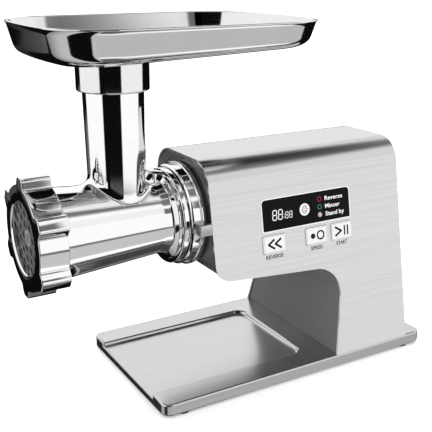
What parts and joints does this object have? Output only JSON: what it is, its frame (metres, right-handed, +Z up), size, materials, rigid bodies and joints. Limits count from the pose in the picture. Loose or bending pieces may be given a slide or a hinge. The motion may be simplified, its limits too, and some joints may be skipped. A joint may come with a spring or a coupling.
{
  "type": "electric meat grinder",
  "caption": "Electric meat grinder: bridge-shaped steel motor housing on a base plate, horizontal grinding head with feed throat and food tray.",
  "frame": {"origin": "on the ground under the middle of the whole object's box", "axes": "+X from the ring nut to the motor end along the drive axis, -Y towards the control panel, +Z up"},
  "size_m": [0.368, 0.1794, 0.3164],
  "materials": {
    "brushed_steel": "brushed",
    "grey_steel": "satin",
    "dark_plastic": "matte",
    "black_glass": "gloss",
    "board": "matte",
    "polished_cast": "polished",
    "polished_steel": "polished",
    "tool_steel": "ground",
    "cast_alloy": "cast",
    "brass_part": "satin",
    "winding": "enamelled",
    "carbon": "matte",
    "button_grey": "satin",
    "rubber_foot": "matte"
  },
  "bodies": {
    "root": {"base_plate": "brushed_steel", "bottom_cover": "dark_plastic", "foot_front_near": "rubber_foot", "foot_front_far": "rubber_foot", "foot_rear_near": "rubber_foot", "foot_rear_far": "rubber_foot", "bottom_cover_screws": "tool_steel", "housing_wrap": "brushed_steel", "front_panel": "grey_steel", "arch_lining": "grey_steel", "rear_cover": "dark_plastic", "rear_cover_screws": "tool_steel", "display_window": "black_glass", "display_module": "board", "button_switches": "dark_plastic", "control_board": "board", "head_socket": "polished_cast", "socket_screws": "tool_steel", "gearbox_case": "cast_alloy", "gearbox_web": "cast_alloy", "gearbox_cover": "cast_alloy", "gearbox_screws": "tool_steel", "output_bearing": "tool_steel", "output_tail_bush": "brass_part", "layshaft_front_bush": "brass_part", "layshaft_rear_bush": "brass_part", "motor_front_bearing": "tool_steel", "motor_rear_bearing": "tool_steel", "stator_core": "tool_steel", "field_coils": "winding", "motor_front_bell": "cast_alloy", "motor_rear_bell": "cast_alloy", "brushes": "carbon", "brush_holders": "brass_part", "chassis_bracket": "tool_steel", "power_board": "board", "mains_inlet": "dark_plastic"},
    "output_drive": {"output_gear": "tool_steel", "output_shaft": "tool_steel"},
    "layshaft_set": {"layshaft": "tool_steel", "layshaft_wheel": "tool_steel", "layshaft_pinion": "tool_steel"},
    "rotor": {"rotor_shaft": "tool_steel", "motor_pinion": "tool_steel", "rotor_core": "tool_steel", "commutator": "winding", "cooling_fan": "dark_plastic"},
    "lock": {"lock_ring": "polished_cast"},
    "head": {"head_casting": "polished_cast", "feed_throat": "polished_cast", "grinding_plate": "tool_steel", "plate_bush": "brass_part"},
    "screw": {"auger": "cast_alloy", "cutter_blade": "tool_steel"},
    "ring": {"ring_nut": "polished_cast"},
    "food_tray": {"tray": "polished_steel", "tray_collar": "polished_steel"},
    "reverse_key": {"button_reverse": "button_grey"},
    "mode_key": {"button_mode": "button_grey"},
    "start_key": {"button_start": "button_grey"}
  },
  "joints": [
    {"name": "output_spin", "type": "hinge", "parent": "root", "child": "output_drive", "pos_m": [0, 0, 0.15], "axis": [1, 0, 0], "continuous": true},
    {"name": "layshaft_spin", "type": "hinge", "parent": "root", "child": "layshaft_set", "pos_m": [0, 0.018, 0.17145], "axis": [1, 0, 0], "continuous": true},
    {"name": "rotor_spin", "type": "hinge", "parent": "root", "child": "rotor", "pos_m": [0, 0, 0.15], "axis": [1, 0, 0], "continuous": true},
    {"name": "lock_turn", "type": "hinge", "parent": "root", "child": "lock", "pos_m": [0, 0, 0.15], "axis": [1, 0, 0], "range_deg": [-40, 0]},
    {"name": "head_slide", "type": "slide", "parent": "root", "child": "head", "axis": [-1, 0, 0], "range_m": [0, 0.06]},
    {"name": "screw_spin", "type": "hinge", "parent": "head", "child": "screw", "pos_m": [0, 0, 0.15], "axis": [1, 0, 0], "continuous": true},
    {"name": "ring_turn", "type": "hinge", "parent": "head", "child": "ring", "pos_m": [0, 0, 0.15], "axis": [1, 0, 0], "range_deg": [0, 690]},
    {"name": "tray_lift", "type": "slide", "parent": "head", "child": "food_tray", "axis": [0, 0, 1], "range_m": [0, 0.04]},
    {"name": "reverse_press", "type": "slide", "parent": "root", "child": "reverse_key", "axis": [0, 0.9844, -0.1758], "range_m": [0, 0.001], "stiffness_N_per_m": 400, "springref_m": -0.0005},
    {"name": "mode_press", "type": "slide", "parent": "root", "child": "mode_key", "axis": [0, 0.9844, -0.1758], "range_m": [0, 0.001], "stiffness_N_per_m": 400, "springref_m": -0.0005},
    {"name": "start_press", "type": "slide", "parent": "root", "child": "start_key", "axis": [0, 0.9844, -0.1758], "range_m": [0, 0.001], "stiffness_N_per_m": 400, "springref_m": -0.0005}
  ],
  "couplings": [
    {"joint": "layshaft_spin", "follows": "output_spin", "ratio": -3.6667},
    {"joint": "rotor_spin", "follows": "output_spin", "ratio": 17.722},
    {"joint": "screw_spin", "follows": "output_spin", "ratio": 1}
  ]
}
